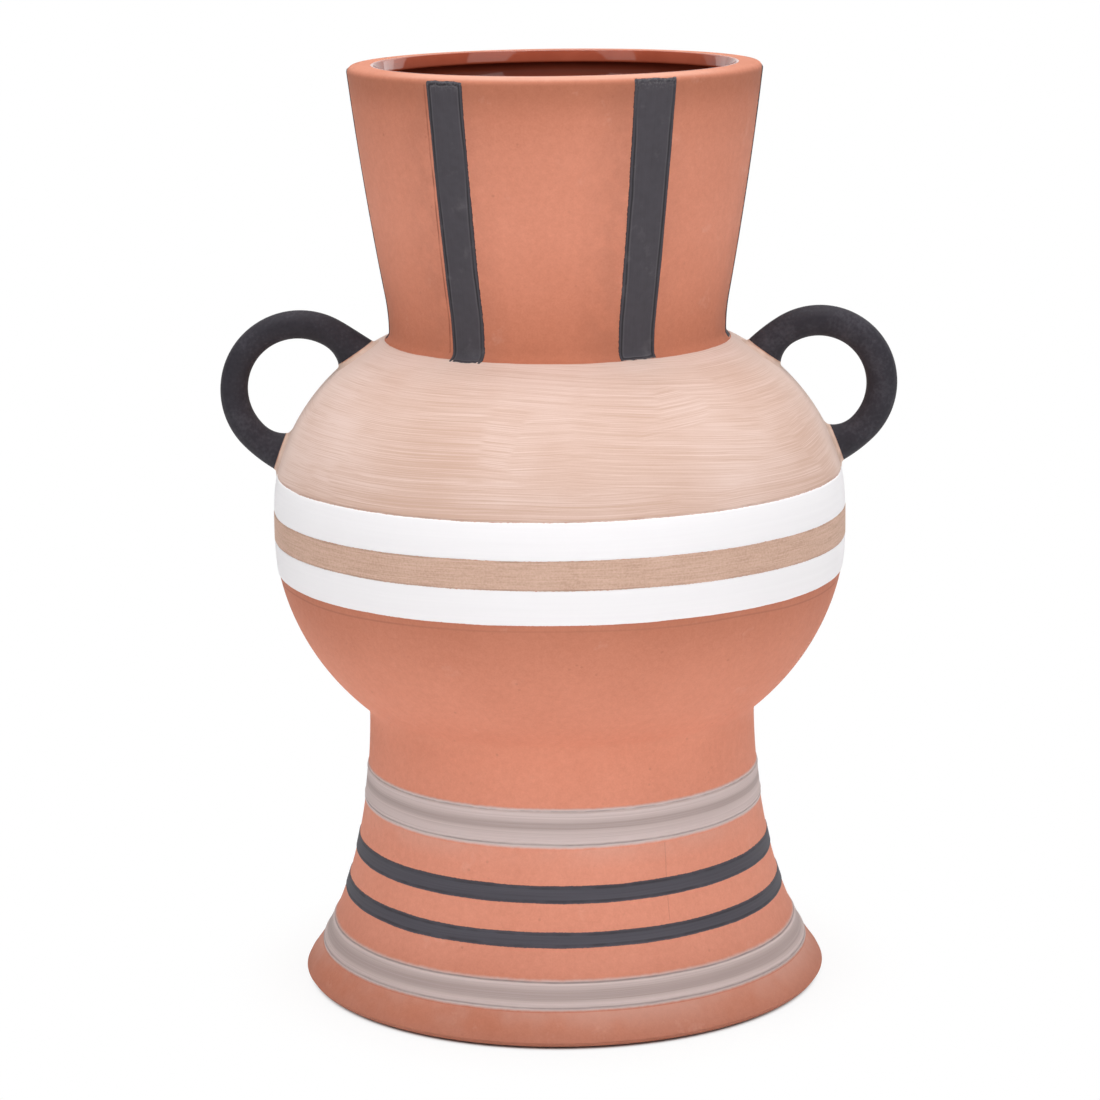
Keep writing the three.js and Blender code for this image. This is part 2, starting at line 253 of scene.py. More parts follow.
class Ring:
    """The centre line of a handle, through two roots on the shoulder. footing and headroom are their gaps from the
    bands and the neck, standoff is the centre's from the shoulder, swell the middle's and flare the upper root's."""

    def __init__(self, side, footing, headroom, standoff, swell, flare):
        self.side, self.swell, self.flare = side, swell, flare
        root = ROD + COLLAR + ROOT_MARGIN
        low = math.asin(BANDS_TOP / SHOULDER_ARC) + (root + footing) / SHOULDER_ARC
        high = SHOULDER_END - (root + headroom) / SHOULDER_ARC
        self.slopes = (low, high)
        self.centre = on_shoulder((low + high) / 2, standoff)
        self.roots = [on_shoulder(turn) for turn in self.slopes]
        self.radius = float(np.linalg.norm(self.roots[1] - self.centre))
        self.low, self.high = [math.atan2(p[1] - self.centre[1], p[0] - self.centre[0]) for p in self.roots]

    def skin(self, turn, around):
        """Points on the rod, at angles along its ring and around it."""
        clear = self.radius * np.minimum(self.high - turn, turn - self.low)
        near = np.clip(1 - clear / ROOT_LENGTH, 0, 1)
        share = np.clip((turn - self.low) / (self.high - self.low), 0, 1)
        thick = ROD + ROOT_SPREAD * near ** 2 + self.swell * np.sin(math.pi * share) ** 2
        thick = thick + self.flare * near ** 3 * np.maximum(np.cos(around), 0) * (share > 0.5)
        out = self.radius + thick * np.cos(around)
        x = self.centre[0] + out * np.cos(turn)
        z = self.centre[1] + out * np.sin(turn)
        return np.c_[self.side * x, -thick * np.sin(around), z]

    def end(self, around, upper, gap, overshoot=0.35):
        """The angle along the ring at which each line of the rod comes within a gap of the shoulder."""
        inner = np.full(around.shape, (self.low + self.high) / 2)
        outer = np.full(around.shape, (self.high + overshoot) if upper else (self.low - overshoot))
        for _ in range(40):
            turn = (inner + outer) / 2
            clear = shoulder_gap(self.skin(turn, around)) > gap
            inner, outer = np.where(clear, turn, inner), np.where(clear, outer, turn)
        return inner


HANDLES = (("left", Ring(-1, footing=0.4, headroom=6.3, standoff=4.9, swell=-0.45, flare=1.3)),
           ("right", Ring(1, footing=1.3, headroom=7.5, standoff=5.5, swell=0.25, flare=0.3)))


# Modelling

@contextlib.contextmanager
def editing(select=None):
    """Edit mode, with the selection as it is, or with everything selected or deselected."""
    bpy.ops.object.mode_set(mode="EDIT")
    if select:
        bpy.ops.mesh.select_all(action=select)
    yield
    bpy.ops.object.mode_set(mode="OBJECT")


def fresh(add, name, **sizes):
    """A new primitive, with its name."""
    bpy.ops.object.select_all(action="DESELECT")
    add(**sizes)
    piece = bpy.context.object
    piece.name = piece.data.name = name
    return piece


def modified(piece, kind, **settings):
    """Adds a modifier with its settings, and applies it."""
    bpy.ops.object.modifier_add(type=kind)
    modifier = piece.modifiers[-1]
    for key, value in settings.items():
        setattr(modifier, key, value)
    bpy.ops.object.modifier_apply(modifier=modifier.name)


def new_ring(name, count):
    """A plain ring of points to lay out as an outline."""
    return fresh(bpy.ops.mesh.primitive_circle_add, name, vertices=count, radius=0.01)


def note(piece, name, values):
    """Keeps a value for each point of a piece, for its material."""
    marks = piece.data.attributes.new(name, "FLOAT", "POINT")
    marks.data.foreach_set("value", np.asarray(values, np.float32))


def noted(piece, name):
    values = np.empty(len(piece.data.vertices), np.float32)
    piece.data.attributes[name].data.foreach_get("value", values)
    return values.astype(float)


def points_of(piece):
    places = np.empty(3 * len(piece.data.vertices), np.float32)
    piece.data.vertices.foreach_get("co", places)
    return places.reshape(-1, 3).astype(float) / MM


def move_points(piece, places):
    piece.data.vertices.foreach_set("co", (np.asarray(places) * MM).astype(np.float32).ravel())
    piece.data.update()


def closed_up(piece, smooth=35):
    """Merges what lies together, turns the faces outwards and smooths them."""
    with editing("SELECT"):
        bpy.ops.mesh.remove_doubles(threshold=1e-6)
        bpy.ops.mesh.delete_loose()
        bpy.ops.mesh.select_all(action="SELECT")
        bpy.ops.mesh.normals_make_consistent()
    bpy.ops.object.shade_smooth_by_angle(angle=math.radians(smooth))
    return piece


def capped(piece, smooth=35):
    with editing("SELECT"):
        bpy.ops.mesh.fill_holes(sides=0)
    return closed_up(piece, smooth)


def turned(name, outline, steps, open_ended=False, **notes):
    """A piece turned on the wheel from an outline of (radius, height)."""
    piece = new_ring(name, len(outline))
    move_points(piece, [(r, 0.0, z) for r, z in outline])
    for key, values in notes.items():
        note(piece, key, values)
    if open_ended:
        ends = {0, len(outline) - 1}
        with editing("DESELECT"):
            bpy.ops.mesh.select_mode(type="EDGE")
        for edge in piece.data.edges:
            edge.select = set(edge.vertices) == ends
        with editing():
            bpy.ops.mesh.delete(type="EDGE")
            bpy.ops.mesh.select_mode(type="VERT")
    modified(piece, "SCREW", axis="Z", angle=TURN, steps=steps, render_steps=steps, use_merge_vertices=True,
             merge_threshold=1e-7)
    return closed_up(piece)


def settle(piece, node, slot, material):
    piece.data.materials.clear()
    piece.data.materials.append(material)
    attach(piece, "root")
    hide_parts(node)


def sway(seed, size, droop=0.0, lean=0.0):
    """How far a hand-brushed edge strays, in millimetres, around the vase."""
    chance = random.Random(seed)
    waves = [(k, chance.uniform(0.4, 1.0) * size / (1 + 0.09 * k), chance.uniform(0, TURN))
             for k in (2, 3, 5, 7, 11, 16, 23, 34, 47, 66, 90)]

    def stray(angle):
        drift = lean * np.cos(angle) - droop * np.cos(angle) ** 2
        return sum(a * np.sin(k * angle + p) for k, a, p in waves) + drift
    return stray


def two_sways(seed, size):
    return sway(seed, size), sway(seed + 1, size)


def brushed_ring(name, heights, edges, thick, rows, steps=GIRTH_STEPS):
    """A band of slip on the outside between two heights, with hand-brushed edges.
    thick(run, width) gives its thickness at a distance from its lower edge."""
    start, end = map(run_at, heights)
    width = end - start
    face = sorted({min(max(r, 0.0), width) for r in rows(width)})
    back = np.linspace(width, 0, max(3, round(width / 4)))
    run = [*face, *back]
    depths = [thick(place, width) for place in face] + [-COAT_BACK] * len(back)
    outline = []
    for place, depth in zip(run, depths):
        r, z, out_r, out_z = wall_at(start + place)
        outline.append((r + out_r * depth, z + out_z * depth))
    piece = turned(name, outline, steps, run=run, rim=[min(place, width - place) for place in run])
    places, along = points_of(piece), noted(piece, "run")
    angle = np.arctan2(places[:, 1], places[:, 0])
    share = along / width
    shift = (1 - share) * edges[0](angle) + share * edges[1](angle)
    _, _, out_r, out_z = wall_at(start + along)
    places[:, 0] += -out_z * shift * np.cos(angle)
    places[:, 1] += -out_z * shift * np.sin(angle)
    places[:, 2] += out_r * shift
    move_points(piece, places)
    return piece


def even_rows(gap):
    """Rows a gap apart, and closer along the edges."""
    def rows(width):
        edge = [0, 0.12, 0.3, 0.55, 0.9, 1.4]
        inner = np.arange(2.2, width - 2.2 + 1e-6, gap)
        return [*edge, *inner, *(width - e for e in edge)]
    return rows


def close_rows(width):
    """Rows close together near the edges, where the scribed lines are."""
    edge, close = 3.0, 0.11
    return [0, *np.arange(0.1, edge, close), *np.arange(edge, width - edge, 0.5),
            *np.arange(width - edge, width, close), width]


def film(depth, soft=0.5):
    """An even film with round edges."""
    def thick(run, width):
        near = min(run, width - run) / soft
        return depth * min(1.0, near) ** 0.5
    return thick


def scribed(depth, scribes):
    """A film that thins out at its edges, with lines scratched along it and a ridge inside each."""
    def thick(run, width):
        near = min(1.0, min(run, width - run) / 1.1)
        shape = depth * near * near * (3 - 2 * near)
        for at in scribes:
            away = run - at * width
            inner = away if at < 0.5 else -away
            shape += 0.16 * math.exp(-((inner - 0.8) / 0.45) ** 2) - 0.22 * math.exp(-(away / 0.2) ** 2)
        return max(0.02, shape)
    return thick


# Materials

class Nodes:
    """Adds nodes to a tree, one method for each kind. place is where the grain is read, if not said otherwise."""

    def __init__(self, tree, place=None):
        self.tree, self.place = tree, place

    def feed(self, target, value):
        if isinstance(value, bpy.types.NodeSocket):
            self.tree.links.new(value, target)
        else:
            target.default_value = value

    def put(self, kind, sockets=None, **settings):
        """A node with its settings, and its inputs set or linked."""
        node = self.tree.nodes.new(kind)
        for key, value in settings.items():
            setattr(node, key, value)
        for key, value in (sockets or {}).items():
            self.feed(node.inputs[key], value)
        return node

    def use(self, group, **sockets):
        inputs = {key.replace("_", " "): value for key, value in sockets.items()}
        return self.put("ShaderNodeGroup", inputs, node_tree=group).outputs

    def calc(self, operation, *values):
        return self.put("ShaderNodeMath", dict(enumerate(values)), operation=operation).outputs[0]

    plus = partialmethod(calc, "ADD")
    minus = partialmethod(calc, "SUBTRACT")
    times = partialmethod(calc, "MULTIPLY")
    over = partialmethod(calc, "DIVIDE")
    scaled = partialmethod(calc, "MULTIPLY_ADD")

    def gap(self, first, second):
        return self.calc("ABSOLUTE", self.minus(first, second))

    def vector(self, operation, *values):
        return self.put("ShaderNodeVectorMath", dict(enumerate(values)), operation=operation).outputs["Value"]

    def total(self, *parts):
        """The sum of values, each with its weight."""
        result = self.times(*parts[0])
        for value, weight in parts[1:]:
            result = self.scaled(value, weight, result)
        return result

    def blend(self, share, first, second, mode="MIX"):
        second = (*second, 1) if isinstance(second, tuple) else second
        sockets = {0: share, 6: first, 7: second}
        return self.put("ShaderNodeMix", sockets, data_type="RGBA", blend_type=mode).outputs[2]

    def weigh(self, share, first, second):
        return self.put("ShaderNodeMix", {0: share, 2: first, 3: second}, data_type="FLOAT").outputs[0]

    def ramp(self, value, *stops):
        node = self.put("ShaderNodeValToRGB", {0: value})
        elements = node.color_ramp.elements
        elements[0].position, elements[1].position = stops[0][0], stops[-1][0]
        for place, _ in stops[1:-1]:
            elements.new(place)
        for element, (_, colour) in zip(elements, stops):
            element.color = (*colour, 1)
        return node.outputs[0]

    def span(self, value, low, high, to_low=0.0, to_high=1.0, soft=False):
        return self.put("ShaderNodeMapRange", {0: value, 1: low, 2: high, 3: to_low, 4: to_high},
                        interpolation_type="SMOOTHSTEP" if soft else "LINEAR").outputs[0]

    ease = partialmethod(span, soft=True)

    def grain(self, scale, detail, rough=0.5, place=None):
        sockets = {"Vector": place or self.place, "Scale": scale, "Detail": detail, "Roughness": rough}
        return self.put("ShaderNodeTexNoise", sockets).outputs["Fac"]

    def stray(self, scale, detail):
        """Grain about nought."""
        return self.minus(self.grain(scale, detail), 0.5)

    def apart(self):
        return self.put("ShaderNodeSeparateXYZ", {0: self.place}).outputs

    def joined(self, x, y, z=0.0):
        return self.put("ShaderNodeCombineXYZ", {"X": x, "Y": y, "Z": z}).outputs[0]

    def object_place(self):
        return self.put("ShaderNodeTexCoord").outputs["Object"]

    def kept(self, name):
        return self.put("ShaderNodeAttribute", attribute_name=name).outputs["Fac"]


def new_group(name, inputs, outputs):
    """A node group, with the defaults of its inputs; one without a default is a vector."""
    tree = bpy.data.node_groups.new(name, "ShaderNodeTree")
    for key, value in inputs.items():
        kind = "NodeSocketVector" if value is None else "NodeSocketFloat"
        socket = tree.interface.new_socket(name=key, in_out="INPUT", socket_type=kind)
        if value is not None:
            socket.default_value = value
    for key in outputs:
        kind = "NodeSocketColor" if key == "Color" else "NodeSocketFloat"
        tree.interface.new_socket(name=key, in_out="OUTPUT", socket_type=kind)
    given = tree.nodes.new("NodeGroupInput").outputs
    return Nodes(tree, given["Place"]), given, tree.nodes.new("NodeGroupOutput").inputs


def fired_clay():
    """Bare clay: fine grain, soft clouding, a few specks, and at each height a tone that is partly its own and partly
    painted shade and highlight.
    """
    n, _, result = new_group("Fired clay", {"Place": None}, ("Color", "Height"))
    fine, small, broad = n.grain(1700, 2), n.grain(520, 3), n.grain(24, 3)
    tone = n.total((fine, 0.30), (small, 0.30), (broad, 0.40))
    colour = n.ramp(tone, (0.28, (0.638, 0.239, 0.153)), (0.50, (0.714, 0.280, 0.185)), (0.72, (0.788, 0.321, 0.217)))
    # Painted shade and highlight by height, partly the clay's own tone
    shades = [(z / HEIGHT, (light, light * (1 - redder / 2), light * (1 - redder))) for z, light, redder in CLAY_PAINTED_SHADE]
    shade = n.ramp(n.over(n.apart()["Z"], HEIGHT * MM), *shades)
    colour = n.blend(1.0, colour, shade, "MULTIPLY")
    cells = n.put("ShaderNodeTexVoronoi", {"Vector": n.place, "Scale": 230.0}).outputs["Distance"]
    few = n.span(n.grain(90, 1), 0.55, 0.64)
    speck = n.times(n.times(n.span(cells, 0.07, 0.14, 1.0, 0.0), few), 0.22)
    n.feed(result["Color"], n.blend(speck, colour, SPECK))
    n.feed(result["Height"], n.total((fine, 0.6), (small, 0.4)))
    return n.tree


def brush_marks():
    """Streaks left by a brush, from a place in millimetres that has the stroke across its third axis."""
    n, given, result = new_group(
        "Brush marks", {"Place": None, "Length": 45.0, "Pitch": 0.8, "Wander": 4.0, "Broad": 0.3},
        ("Streak", "Line", "Height"))
    apart = n.apart()
    drift = n.stray(0.012, 1)
    across = n.scaled(drift, n.times(given["Wander"], 2.0), apart["Z"])

    def stretched(pitch):
        return n.joined(n.over(apart["X"], given["Length"]), n.over(apart["Y"], given["Length"]),
                        n.over(across, n.times(given["Pitch"], pitch)))
    fine = n.grain(1.0, 3, 0.6, stretched(1.0))
    wide = n.grain(1.0, 2, 0.5, stretched(4.0))
    bristle = n.grain(1.0, 1, 0.5, stretched(2.2))
    line = n.ease(n.gap(bristle, 0.5), 0.0, 0.045, 1.0, 0.0)
    n.feed(result["Streak"], n.weigh(given["Broad"], fine, wide))
    n.feed(result["Line"], line)
    n.feed(result["Height"], n.total((fine, 0.8), (line, -0.25)))
    return n.tree


def ragged_edge():
    """How much of a coat covers the clay: whole inside, broken up within Reach of its edge."""
    n, given, result = new_group("Ragged edge", {"Rim": 1.0, "Place": None, "Reach": 0.4, "Break": 1.6}, ("Cover",))
    jitter = n.stray(1100, 2)
    share = n.scaled(jitter, given["Break"], n.over(given["Rim"], given["Reach"]))
    n.feed(result["Cover"], n.ease(share, 0.25, 0.75))
    return n.tree


def scored_line():
    """A thin line scored up the clay between two heights in metres, at bearings in radians from the front."""
    n, given, result = new_group(
        "Scored line", {"Place": None, "Low": 0.2, "High": 0.3, "Low Bearing": 0.0, "High Bearing": 0.0,
                        "Width": 0.0003}, ("Mark",))
    apart = n.apart()
    bearing = n.calc("ARCTAN2", apart["X"], n.times(apart["Y"], -1.0))
    reach = n.vector("LENGTH", n.joined(apart["X"], apart["Y"]))
    line = n.span(apart["Z"], given["Low"], given["High"], given["Low Bearing"], given["High Bearing"])
    stray = n.times(n.stray(60, 2), 0.0009)
    away = n.scaled(n.minus(bearing, line), reach, stray)
    mark = n.span(n.calc("ABSOLUTE", away), n.times(given["Width"], 0.4), given["Width"], 1.0, 0.0)
    inside = n.times(n.calc("GREATER_THAN", apart["Z"], given["Low"]), n.calc("LESS_THAN", apart["Z"], given["High"]))
    worn = n.span(n.grain(140, 3), 0.36, 0.56, 0.35, 1.0)
    n.feed(result["Mark"], n.times(n.times(mark, inside), worn))
    return n.tree


CLAY = fired_clay()
BRUSH = brush_marks()
RAGGED = ragged_edge()
SCORED = scored_line()


class Finish(Nodes):
    """A material whose colour is built up coat on coat before it goes to the shader."""

    def __init__(self, name, specular):
        self.material = bpy.data.materials.new(name)
        self.material.use_nodes = True
        super().__init__(self.material.node_tree)
        self.shader = self.tree.nodes["Principled BSDF"].inputs
        self.shader["Specular IOR Level"].default_value = specular
        self.place = self.object_place()

    def coat(self, share, colour):
        self.colour = self.blend(share, self.colour, colour)

    def brush(self, across, pitch, length, wander, broad=0.3):
        """Strokes around the vase, from a value in millimetres across them."""
        apart = self.apart()
        place = self.joined(self.times(apart["X"], 1 / MM), self.times(apart["Y"], 1 / MM), across)
        return self.use(BRUSH, Place=place, Pitch=pitch, Length=length, Wander=wander, Broad=broad)

    def clay(self):
        return self.use(CLAY, Place=self.place)

    def over_clay(self, clay, cover):
        self.colour = self.blend(cover, clay["Color"], self.colour)

    def ragged(self, rim, reach):
        return self.use(RAGGED, Rim=rim, Place=self.place, Reach=reach)["Cover"]

    def done(self, rough, height, relief, reach=0.2):
        """Sends the colour to the shader, with roughness and a relief of a reach in millimetres."""
        bump = self.put("ShaderNodeBump", {"Strength": relief, "Distance": reach * MM, "Height": height})
        for key, value in (("Base Color", self.colour), ("Roughness", rough), ("Normal", bump.outputs[0])):
            self.feed(self.shader[key], value)
        return self.material


def bare_clay():
    """Clay with a haze of black and scored lines beside the stripes, a faint line under the lowest belly band,
    a haze of taupe under the taupe bands, a hairline in the foot, pale scuffs and a painted highlight on the front of
    the lip's crown."""
    m = Finish("bare_clay", 0.25)
    clay = m.clay()
    m.colour, height = clay["Color"], clay["Height"]

    def scored(low, high, foot, top, width):
        return m.use(SCORED, Place=m.place, Low=low * MM, High=high * MM, Low_Bearing=foot, High_Bearing=top,
                     Width=width * MM)["Mark"]
    upper = HEIGHT - 2.5
    for side, (top, foot, top_width, foot_width, _, _) in zip(SCORED_SIDES, STRIPES):
        top, foot = math.radians(top), math.radians(foot)
        haze = scored(NECK_FOOT - 1, upper, foot - 3.5 / NECK, top - 3.5 / RIM, 19.0)
        m.coat(m.times(haze, 0.24), BLACK_HAZE)
        if side:
            mark = scored(NECK_FOOT + 1, upper, foot + side * (foot_width / 2 + 1.0) / NECK,
                          top + side * (top_width / 2 + 0.8) / RIM, 0.34)
            m.coat(m.times(mark, 0.75), SCORE)
            height = m.scaled(mark, -2.0, height)
    crack = scored(35.3, 59.9, math.radians(28.2), math.radians(29.2), 0.2)
    m.coat(m.times(crack, 0.35), HAIRLINE)
    apart = m.apart()
    wide, deep = m.times(apart["X"], apart["X"]), m.times(apart["Y"], apart["Y"])
    side = m.over(wide, m.plus(m.plus(wide, deep), 1e-6))
    guide = m.scaled(m.stray(17, 1), 0.0026, m.scaled(side, -0.0009, 0.1379))
    line = m.span(m.gap(apart["Z"], guide), 0.00010, 0.00045, 1.0, 0.0)
    m.coat(m.times(line, m.span(side, 0.0, 0.35, 0.22, 0.5)), HAIRLINE)
    patchy = m.ease(m.grain(34, 3, 0.6), 0.36, 0.62, 0.1, 1.0)
    for low, high, share in ((0.0025, 0.0105, 0.36), (0.0535, 0.0605, 0.26)):
        haze = m.times(m.span(apart["Z"], low, high, 0.0, share), m.calc("LESS_THAN", apart["Z"], high + 0.002))
        m.coat(m.times(haze, patchy), TAUPE_HAZE)
    m.coat(m.times(m.span(m.grain(80, 4, 0.7), 0.63, 0.76), 0.16), PALE_SCUFF)
    # A painted highlight: the lip's crown paler towards the front
    crown = m.ease(apart["Z"], (HEIGHT - 1.3) * MM, (HEIGHT - 0.3) * MM)
    m.coat(m.times(crown, m.ease(apart["Y"], -0.060, -0.030, 0.26, 0.06)), PAINTED_LIP_HIGHLIGHT)
    return m.done(m.span(m.grain(300, 2), 0.3, 0.7, 0.74, 0.86), height, 0.16)


def brown_glaze():
    """Glaze with painted shade in the hollow under the lip's bead, and a little painted shade all down the wall below
    it.
    """
    m = Finish("brown_glaze", 0.58)
    height = m.apart()["Z"]
    painted_hollow_shade = m.times(m.ease(height, 0.2945, 0.3004), m.span(height, 0.3007, 0.3011, 1.0, 0.0))
    m.colour = m.ramp(m.grain(60, 3), (0.35, (0.296, 0.056, 0.026)), (0.65, (0.352, 0.074, 0.037)))
    # Painted shade: dark in the hollow under the bead, and a little darker all the way down below it
    m.coat(m.scaled(painted_hollow_shade, 0.4, m.span(height, 0.3006, 0.3011, 0.25, 0.0)), GLAZE_PAINTED_SHADE)
    return m.done(0.06, m.grain(160, 2), 0.05, 0.5)


def hand_strokes(m, run, nearest, pitch, length, wander, broad):
    """Strokes around the shoulder, some of them leaning, and circling ones near the roots of the handles."""
    layers = [m.brush(run, pitch, length, wander, broad)]
    for wide, deep in ((85.0, 70.0), (-80.0, -75.0)):
        lean = m.vector("DOT_PRODUCT", m.place, (wide, deep, 0))
        layers.append(m.brush(m.plus(run, lean), pitch * 0.9, length * 0.8, wander, broad))
    layers.append(m.brush(m.times(nearest, 1 / MM), pitch * 2.0, length * 0.35, 5.0, broad))
    shares = (m.ease(m.grain(17, 2), 0.50, 0.56), m.ease(m.grain(23, 2), 0.54, 0.60),
              m.ease(nearest, 0.010, 0.024, 0.7, 0.0))
    strokes = {}
    for key in ("Streak", "Line", "Height"):
        strokes[key] = layers[0][key]
        for share, layer in zip(shares, layers[1:]):
            strokes[key] = m.weigh(share, strokes[key], layer[key])
    height = m.apart()["Z"]
    paler = m.span(height, (NECK_FOOT - 6) * MM, (NECK_FOOT - 1) * MM, -0.25, -0.165)
    # Darker towards the coat's lower edge
    lower_edge_darker = m.span(height, 0.172, 0.178, -0.05, 0.0)
    cloud = m.total((m.grain(19, 3), 0.5), (strokes["Streak"], 1.0))
    strokes["Streak"] = m.plus(m.plus(cloud, paler), lower_edge_darker)
    return strokes


def slip_coat(name, colours, pitch, length, wander, edge, lines=0.0, rough=(0.66, 0.8), relief=0.2, specular=0.3,
              line=None, grit=0.0, reach=0.18, broad=0.3, roots=()):
    """A brushed coat of slip over the clay. colours run from the furrows to the crests of the brush marks,
    and line is the distance of a darker line from the edges, its width, colour and strength.
    Where roots are given, some strokes lean and the brush went round these places."""
    m = Finish(name, specular)
    clay = m.clay()
    run, rim = m.kept("run"), m.kept("rim")
    low, mid, high = colours
    if roots:
        nearest = m.vector("DISTANCE", m.place, roots[0])
        for root in roots[1:]:
            nearest = m.calc("MINIMUM", nearest, m.vector("DISTANCE", m.place, root))
        strokes = hand_strokes(m, run, nearest, pitch, length, wander, broad)
    else:
        strokes = m.brush(run, pitch, length, wander, broad)
    streak = strokes["Streak"]
    if grit:
        streak = m.scaled(m.stray(1500, 2), grit, streak)
    m.colour = m.ramp(streak, (0.5 - reach, low), (0.5, mid), (0.5 + reach, high))
    m.coat(m.times(strokes["Line"], lines), low)
    if roots:
        smear = m.scaled(m.grain(45, 3), 0.024, nearest)
        m.coat(m.ease(smear, 0.022, 0.052, 0.6, 0.0), ROOT_SMEAR)
        m.coat(m.ease(rim, 0.25, 0.7, 0.55, 0.0), high)
    if line is not None:
        away, wide, tint, share = line
        near = m.gap(run if roots else rim, away)
        patches = m.total((m.grain(170, 2), 0.5), (m.grain(22, 2), 0.5))
        worn = m.span(patches, 0.42, 0.58, 0.15 * share, share)
        m.coat(m.times(m.ease(near, wide * 0.4, wide, 1.0, 0.0), worn), tint)
    m.over_clay(clay, m.ragged(rim, edge))
    height = m.total((strokes["Height"], 0.8), (clay["Height"], 0.3))
    return m.done(m.span(streak, 0.3, 0.7, *rough), height, relief)


def taupe_slip(name, edges, fades, tones, scribes):
    """Thin taupe brushed on in two passes: fades are the widths over which it thins out at its lower and upper edge,
    tones its depth at shares of its width, scribes the share, strength and brokenness of the lines along it."""
    m = Finish(name, 0.3)
    clay = m.clay()
    run = m.kept("run")
    strokes = m.brush(run, 0.34, 90.0, 0.7)
    width = run_at(edges[1]) - run_at(edges[0])
    depth = m.ramp(m.over(run, width), *((at, (v, v, v)) for at, v in tones))
    depth = m.scaled(m.minus(strokes["Streak"], 0.5), 1.5, depth)
    m.colour = m.ramp(depth, (0.0, (0.645, 0.538, 0.520)), (0.5, (0.525, 0.428, 0.410)), (1.0, (0.398, 0.317, 0.299)))
    for at, share, broken in scribes:
        stray = m.times(m.stray(45, 2), 0.6)
        mark = m.ease(m.gap(m.plus(run, stray), at * width), 0.10, 0.46, share, 0.0)
        patches = m.total((m.grain(260, 3), 0.6), (m.grain(40, 2), 0.4))
        m.coat(m.times(mark, m.span(patches, 0.43, 0.56, 1.0 - broken, 1.0)), TAUPE_SCRATCH)
    lower, upper = m.over(run, fades[0]), m.over(m.minus(width, run), fades[1])
    cover = m.scaled(m.stray(520, 3), 0.4, m.calc("MINIMUM", lower, upper))
    m.over_clay(clay, m.span(cover, 0.2, 1.0))
    return m.done(0.7, strokes["Height"], 0.2)


def black_stripe():
    """Grey-black slip drawn down the neck: mottled, with a scored groove near its sides, painted shade along the
    grooves with a paler line beside them, scuffed along the stroke, pebbled at its top and edged with the shoulder's
    beige at its foot."""
    m = Finish("black_stripe", 0.28)
    clay = m.clay()
    across, rise, rim = m.kept("run"), m.kept("rise"), m.kept("rim")
    along = m.joined(rise, m.times(m.apart()["X"], 40.0), across)
    strokes = m.use(BRUSH, Place=along, Length=30.0, Pitch=0.5, Wander=0.6)
    m.colour = m.ramp(strokes["Streak"], (0.28, (0.056, 0.050, 0.059)), (0.5, (0.064, 0.058, 0.068)),
                      (0.74, (0.074, 0.067, 0.078)))
    m.coat(m.span(m.grain(420, 3), 0.35, 0.65, 0.0, 0.35), (0.082, 0.076, 0.088))
    groove = m.minus(m.plus(rim, m.times(m.stray(38, 2), 1.6)), 1.25)
    worn = m.span(m.grain(30, 2), 0.42, 0.56, 0.25, 1.0)
    # Painted shade along the groove near each side
    dark = m.ease(m.calc("ABSOLUTE", groove), 0.12, 0.45, 0.75, 0.0)
    m.coat(m.times(dark, worn), (0.022, 0.019, 0.022))
    pale = m.span(m.gap(groove, 0.55), 0.08, 0.32, 0.3, 0.0)
    m.coat(m.times(pale, worn), (0.15, 0.14, 0.152))
    m.coat(m.ease(rim, 0.2, 0.55, 0.6, 0.0), (0.026, 0.022, 0.025))
    m.coat(m.times(m.span(m.grain(130, 4, 0.65), 0.57, 0.72), 0.34), (0.15, 0.14, 0.148))
    top = run_at(HEIGHT - 1.0)
    pebbles = m.times(m.span(m.grain(1300, 3), 0.48, 0.62), m.span(rise, top - 4.0, top - 0.6))
    m.coat(m.times(pebbles, 0.4), (0.19, 0.175, 0.185))
    edging = m.times(m.span(m.kept("foot"), 0.2, 0.5, 1.0, 0.0), m.span(m.grain(330, 3), 0.44, 0.56))
    m.coat(edging, STRIPE_EDGING)
    m.over_clay(clay, m.ragged(rim, 0.25))
    height = m.total((strokes["Height"], 0.8), (clay["Height"], 0.5), (pebbles, 1.5))
    return m.done(m.span(strokes["Streak"], 0.3, 0.7, 0.68, 0.82), height, 0.2)


def black_handle():
    m = Finish("black_rod", 0.22)
    worn = m.grain(85, 4, 0.6)
    tone = m.total((worn, 0.65), (m.grain(900, 2), 0.35))
    m.colour = m.ramp(tone, (0.32, (0.024, 0.0218, 0.028)), (0.52, (0.0345, 0.031, 0.039)),
                      (0.72, (0.062, 0.057, 0.068)))
    return m.done(m.span(worn, 0.3, 0.7, 0.58, 0.74), tone, 0.3, 0.3)


def collar_slip():
    """The shoulder's beige over the root of a handle, with a line of bare clay where the black begins."""
    m = Finish("collar_beige", 0.3)
    earth = m.blend(0.5, m.clay()["Color"], COLLAR_EARTH)
    spots = m.grain(260, 3)
    m.colour = m.ramp(spots, (0.3, (0.60, 0.42, 0.34)), (0.7, (0.72, 0.53, 0.44)))
    jitter = m.times(m.stray(500, 2), 0.5)
    line = m.span(m.plus(m.kept("rim"), jitter), 0.10, 0.45, 1.0, 0.0)
    m.coat(m.times(line, m.span(m.grain(120, 2), 0.40, 0.58, 0.25, 0.85)), earth)
    return m.done(0.75, spots, 0.3, 0.3)


